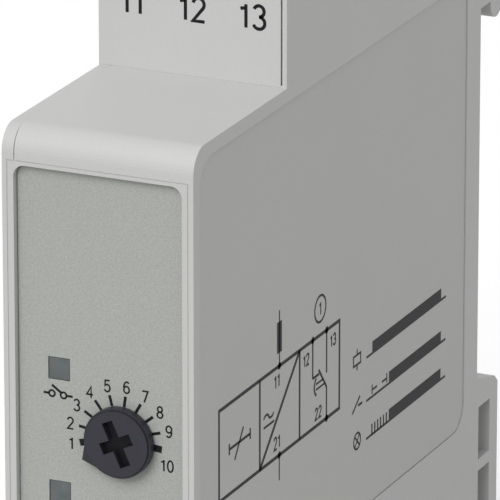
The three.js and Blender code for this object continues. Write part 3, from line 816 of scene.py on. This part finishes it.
BAR_RIGHT = -8.5
BAR_THICK = 1.2
BAR_ROWS = (-6.8, -10.85, -14.4)
BAR_LEFTS = (-24.2, -20.4, -20.4)
BASE_LEFT = -25.5
BASE_RIGHT = -7.4
BASE_LINE = 0.22
COIL_SIGN = -27.6
LAMP_SIGN = -27.5
CONTACT_SIGN_LEVER = (-28.6, -0.7, -26.9, 0.5)
CONTACT_SIGN_FOOT = (-27.3, -26.4, -0.3)
CONTACT_SIGN_LINE = 0.24
DELAY_SPAN = (-24.2, -20.9)
DELAY_RAISE = 0.15
BLINK_COUNT = 6
BLINK_FIRST = -24.2
BLINK_STEP = 0.65
BLINK_LOW = 0.55
BLINK_HIGH = 0.5


def timing_chart(sheet):
    """Three rows: supply on, contact after the delay, lamp blinking then steady."""
    for z, left in zip(BAR_ROWS, BAR_LEFTS):
        low = z - BAR_THICK / 2
        sheet.box(left, BAR_RIGHT, low, z + BAR_THICK / 2)
        sheet.box(BASE_LEFT, left, low, low + BASE_LINE)
        sheet.box(BAR_RIGHT, BASE_RIGHT, low, low + BASE_LINE)
    coil, contact, lamp = BAR_ROWS
    coil_sign(sheet, COIL_SIGN, coil)
    contact_sign(sheet, contact)
    delay_mark(sheet, *DELAY_SPAN, contact + DELAY_RAISE)
    for i in range(BLINK_COUNT):
        y = BLINK_FIRST + i * BLINK_STEP
        sheet.line(y, lamp - BLINK_LOW, y, lamp + BLINK_HIGH, THIN_LINE)
    lamp_sign(sheet, LAMP_SIGN, lamp)


def coil_sign(sheet, y, z):
    """Relay coil: a box with a lead above and below."""
    half_wide = 0.8
    half_tall = 0.45
    lead_near = 0.5
    lead_far = 1.0
    left, right = y - half_wide, y + half_wide
    low, high = z - half_tall, z + half_tall
    sheet.ribbon([(left, low), (right, low), (right, high), (left, high)], SIGN_LINE, True)
    sheet.line(y, z + lead_near, y, z + lead_far, SIGN_LINE)
    sheet.line(y, z - lead_far, y, z - lead_near, SIGN_LINE)


def contact_sign(sheet, z):
    """A contact's lever and its fixed end."""
    y0, z0, y1, z1 = CONTACT_SIGN_LEVER
    sheet.line(y0, z + z0, y1, z + z1, CONTACT_SIGN_LINE)
    left, right, low = CONTACT_SIGN_FOOT
    sheet.line(left, z + low, right, z + low, CONTACT_SIGN_LINE)


def delay_mark(sheet, y0, y1, z):
    """The time between two marks."""
    mark_low = 0.4
    mark_high = 0.5
    near = 0.15
    far = 1.1
    for y in (y0, y1):
        sheet.line(y, z - mark_low, y, z + mark_high, SIGN_LINE)
    sheet.line(y0 + near, z, y0 + far, z, SIGN_LINE)
    sheet.line(y1 - far, z, y1 - near, z, SIGN_LINE)


def lamp_sign(sheet, y, z):
    """Lamp: a circle with a cross."""
    radius = 0.75
    reach = radius * math.sqrt(0.5)
    sheet.ring(y, z, radius, SIGN_LINE)
    sheet.line(y - reach, z - reach, y + reach, z + reach, SLIM_LINE)
    sheet.line(y - reach, z + reach, y + reach, z - reach, SLIM_LINE)


def side_print():
    """The timing chart and the wiring diagram, on the side label."""
    label_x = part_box("side_label")[1].x / MM
    sheet = Print("side_print", (label_x, 0, 0), (0, 1, 0), (0, 0, 1))
    timing_chart(sheet)
    sheet.done("module")
    sheet = Print("side_diagram", (label_x, DIAGRAM_Y, DIAGRAM_Z), (0, 1, 0), (0, 0, 1))
    wiring_diagram(sheet)
    diagram_numbers(sheet)
    sheet.done("module")


# ---------------------------------------------------------------- dial slots


def slot_floor(name, knob, body):
    """A near-black sheet at the bottom of a knob's cross slot: painted shade in the recess."""
    x, _, z = shaft_centre(knob)
    face_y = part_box(knob)[0].y / MM
    floor = Print(name, (x, face_y + SLOT_DEEP, z), (1, 0, 0), (0, 0, 1))
    half_wide = SLOT_WIDE / 2 - PRINT_THICK
    outline = []
    for i, length in enumerate((SLOT_SHORT, SLOT_LONG, SLOT_SHORT, SLOT_LONG)):
        reach = length / 2 - PRINT_THICK
        turn = Matrix.Rotation(math.radians(SLOT_TURN + 90 * i), 2)
        for corner in ((half_wide, -half_wide), (reach, -half_wide), (reach, half_wide)):
            outline.append(turn @ Vector(corner))
    floor.shape(outline)
    made = floor.done(body)
    # The sheet takes the near-black painted-shade finish.
    made.data.materials[0] = PAINTED_SLOT_SHADE


# ---------------------------------------------------------------- camera, light and floor

CAMERA_PLACE = (239.04, -565.97, 201.17)
CAMERA_YAW = math.radians(24.086)
CAMERA_PITCH = math.radians(18.669)
CAMERA_LENS = 511.57
SENSOR = 36.0
FLOOR_SIZE = 6.0
WORLD_LEVEL = 0.54
KEY_LEVEL = 1.7
KEY_FROM = (-0.12, -0.73, 0.67)
KEY_SPREAD = math.radians(40)
FLOOR_GREY = 0.55
FLOOR_GLOW = 0.5
FLOOR_ROUGHNESS = 0.9
FLOOR_GLOSS = 0.1
FLOOR_GAP = 0.2


def add_camera():
    """A long lens a little above the part, turned to show its front and right side."""
    data = bpy.data.cameras.new("camera")
    data.lens = CAMERA_LENS
    data.sensor_width = SENSOR
    data.clip_start = 0.05
    data.clip_end = 50
    thing = bpy.data.objects.new("camera", data)
    ahead = Vector((
        -math.sin(CAMERA_YAW) * math.cos(CAMERA_PITCH),
        math.cos(CAMERA_YAW) * math.cos(CAMERA_PITCH),
        -math.sin(CAMERA_PITCH),
    ))
    right = Vector((math.cos(CAMERA_YAW), math.sin(CAMERA_YAW), 0))
    up = right.cross(ahead)
    turn = Matrix((right, up, -ahead)).transposed().to_4x4()
    thing.matrix_world = Matrix.Translation(Vector(CAMERA_PLACE) * MM) @ turn
    bpy.context.scene.collection.objects.link(thing)
    bpy.context.scene.camera = thing


def seen_directly(tree):
    """1 where a ray comes straight from the camera, a reflection or a clear piece."""
    rays = tree.nodes.new("ShaderNodeLightPath")
    first = tree.nodes.new("ShaderNodeMath")
    first.operation = "MAXIMUM"
    second = tree.nodes.new("ShaderNodeMath")
    second.operation = "MAXIMUM"
    tree.links.new(rays.outputs["Is Camera Ray"], first.inputs[0])
    tree.links.new(rays.outputs["Is Glossy Ray"], first.inputs[1])
    tree.links.new(first.outputs[0], second.inputs[0])
    tree.links.new(rays.outputs["Is Transmission Ray"], second.inputs[1])
    return second.outputs[0]


def add_world():
    """Even white surroundings: full white where seen directly, dimmer as a light."""
    world = bpy.data.worlds.new("world")
    world.use_nodes = True
    tree = world.node_tree
    level = tree.nodes.new("ShaderNodeMapRange")
    level.inputs["To Min"].default_value = WORLD_LEVEL
    level.inputs["To Max"].default_value = 1.0
    tree.links.new(seen_directly(tree), level.inputs["Value"])
    background = tree.nodes["Background"]
    background.inputs["Color"].default_value = (1, 1, 1, 1)
    tree.links.new(level.outputs["Result"], background.inputs["Strength"])
    bpy.context.scene.world = world


def add_key():
    """One broad soft light from the front and above."""
    data = bpy.data.lights.new("key", "SUN")
    data.energy = KEY_LEVEL
    data.angle = KEY_SPREAD
    thing = bpy.data.objects.new("key", data)
    thing.rotation_mode = "QUATERNION"
    thing.rotation_quaternion = Vector(KEY_FROM).to_track_quat("Z", "Y")
    bpy.context.scene.collection.objects.link(thing)


def add_floor():
    """A plain pale floor just below the part."""
    material = bpy.data.materials.new("floor")
    material.use_nodes = True
    tree = material.node_tree
    shader = tree.nodes["Principled BSDF"]
    shader.inputs["Base Color"].default_value = (FLOOR_GREY, FLOOR_GREY, FLOOR_GREY, 1)
    shader.inputs["Roughness"].default_value = FLOOR_ROUGHNESS
    shader.inputs["Specular IOR Level"].default_value = FLOOR_GLOSS
    shader.inputs["Emission Color"].default_value = (1, 1, 1, 1)
    glow = tree.nodes.new("ShaderNodeMath")
    glow.operation = "MULTIPLY"
    glow.inputs[1].default_value = FLOOR_GLOW
    tree.links.new(seen_directly(tree), glow.inputs[0])
    tree.links.new(glow.outputs[0], shader.inputs["Emission Strength"])
    data = bpy.data.meshes.new("floor")
    half = FLOOR_SIZE / 2
    low = cad_box[0].z - FLOOR_GAP * MM
    corners = [(-half, -half, low), (half, -half, low), (half, half, low), (-half, half, low)]
    data.from_pydata(corners, [], [(0, 1, 2, 3)])
    data.materials.append(material)
    thing = bpy.data.objects.new("floor", data)
    bpy.context.scene.collection.objects.link(thing)


bpy.context.scene.view_settings.view_transform = "Standard"
finish_nodes()
front_print()
side_print()
seam_filler()
slot_floor("time_slot_floor", "time_knob", "time_dial")
slot_floor("range_slot_floor", "range_knob", "range_dial")
terminal_print("top_numbers", "terminal_block_top", ("11", "12", "13"), 1)
terminal_print("bottom_numbers", "terminal_block_bottom", ("21", "22", "23"), -1)
add_camera()
add_world()
add_key()
add_floor()
